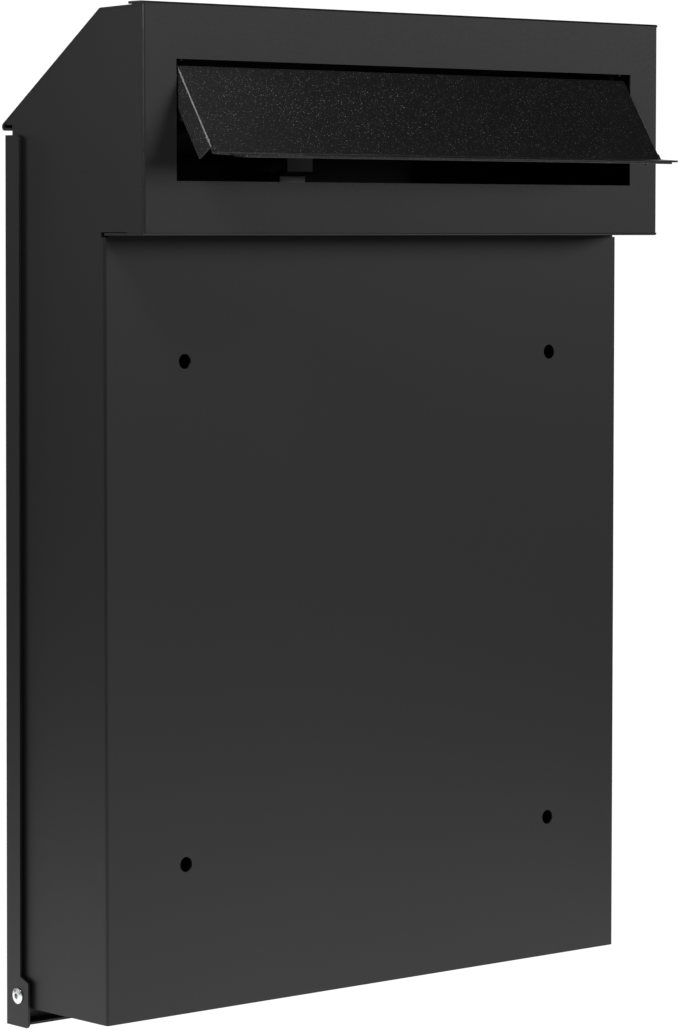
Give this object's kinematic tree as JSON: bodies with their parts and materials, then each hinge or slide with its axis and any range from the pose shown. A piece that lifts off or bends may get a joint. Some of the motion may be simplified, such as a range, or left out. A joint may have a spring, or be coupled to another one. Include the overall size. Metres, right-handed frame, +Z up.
{
  "type": "mailbox",
  "caption": "Through-the-wall mailbox of folded black sheet steel, with a letter flap in a projecting head and a locked drop-down rear door.",
  "frame": {"origin": "centre of the four-hole pattern, on the outer face of the front panel", "axes": "+Z up, -Y out of the letter slot towards the street, +X to the right seen from the street"},
  "size_m": [0.2864, 0.1229, 0.4068],
  "materials": {
    "powder_coat": "satin black powder coat with a fine texture",
    "bright_steel": "bright plated",
    "aluminium": "plain bright",
    "zinc": "dull plated",
    "black_zinc": "black passivated",
    "brass": "plain"
  },
  "bodies": {
    "body": {"body_shell": "powder_coat", "head_front": "powder_coat", "roof": "powder_coat", "floor_pan": "powder_coat", "left_flap_bracket": "powder_coat", "right_flap_bracket": "powder_coat", "left_flap_pin": "bright_steel", "right_flap_pin": "bright_steel", "left_door_rivet": "aluminium", "right_door_rivet": "aluminium", "left_door_washer": "bright_steel", "right_door_washer": "bright_steel"},
    "flap": {"flap": "powder_coat"},
    "door": {"rear_door": "powder_coat", "lock_housing": "zinc", "lock_nut": "zinc"},
    "lock_core": {"lock_plug": "zinc", "lock_wafers": "brass", "stop_washer": "black_zinc", "lock_cam": "black_zinc", "cam_screw": "black_zinc"}
  },
  "joints": [
    {"name": "flap_hinge", "type": "hinge", "parent": "body", "child": "flap", "pos_m": [0, -0.0205, 0.2108], "axis": [-1, 0, 0], "range_deg": [-33.2, 56.8]},
    {"name": "door_hinge", "type": "hinge", "parent": "body", "child": "door", "pos_m": [0, 0.0554, -0.1554], "axis": [-1, 0, 0], "range_deg": [0, 60]},
    {"name": "lock_turn", "type": "hinge", "parent": "door", "child": "lock_core", "pos_m": [0, 0.04999, 0.16497], "axis": [0, 1, 0.0063], "range_deg": [0, 90]}
  ]
}
